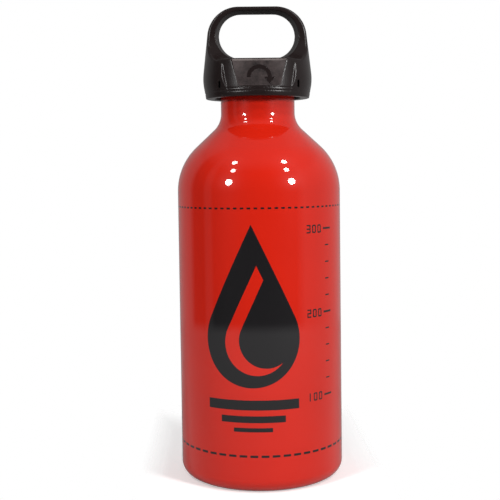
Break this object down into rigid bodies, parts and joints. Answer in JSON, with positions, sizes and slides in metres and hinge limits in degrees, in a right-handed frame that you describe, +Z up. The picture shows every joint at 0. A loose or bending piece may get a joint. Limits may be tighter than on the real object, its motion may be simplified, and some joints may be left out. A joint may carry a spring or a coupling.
{
  "type": "camping fuel bottle",
  "caption": "Slim one-piece aluminium fuel bottle with a round shoulder and short neck, closed by a push-and-turn screw cap with a wide carrying loop.",
  "frame": {"origin": "middle of the ring that the bottle stands on", "axes": "+Z up along the bottle's axis, +X along the width of the carrying loop, -Y the front"},
  "size_m": [0.065, 0.065, 0.1867],
  "materials": {
    "red_lacquer": "gloss red lacquer on aluminium",
    "black_nylon": "satin moulded nylon",
    "plug_nylon": "satin moulded nylon",
    "seal_rubber": "matt rubber",
    "spring_steel": "drawn flat stainless wire",
    "ring_plastic": "natural acetal"
  },
  "bodies": {
    "bottle": {"bottle_shell": "red_lacquer"},
    "seal": {"o_ring": "seal_rubber"},
    "plug": {"threaded_plug": "plug_nylon", "return_spring": "spring_steel"},
    "keeper": {"retaining_ring": "ring_plastic"},
    "cap": {"cap_shell": "black_nylon"}
  },
  "joints": [
    {"name": "cap_lift", "type": "slide", "parent": "bottle", "child": "seal", "axis": [0, 0, 1], "range_m": [0, 0.014]},
    {"name": "cap_turn", "type": "hinge", "parent": "seal", "child": "plug", "pos_m": [0, 0, 0.15], "axis": [0, 0, 1], "range_deg": [0, 1440]},
    {"name": "press_down", "type": "slide", "parent": "plug", "child": "keeper", "axis": [0, 0, 1], "range_m": [-0.0019, 0], "stiffness_N_per_m": 4000, "springref_m": 0.003, "deforming": ["return_spring"]},
    {"name": "free_wheel", "type": "hinge", "parent": "keeper", "child": "cap", "pos_m": [0, 0, 0.158], "axis": [0, 0, 1], "continuous": true}
  ],
  "couplings": [
    {"joint": "cap_lift", "follows": "cap_turn", "m_per_rad": 0.00055704}
  ]
}
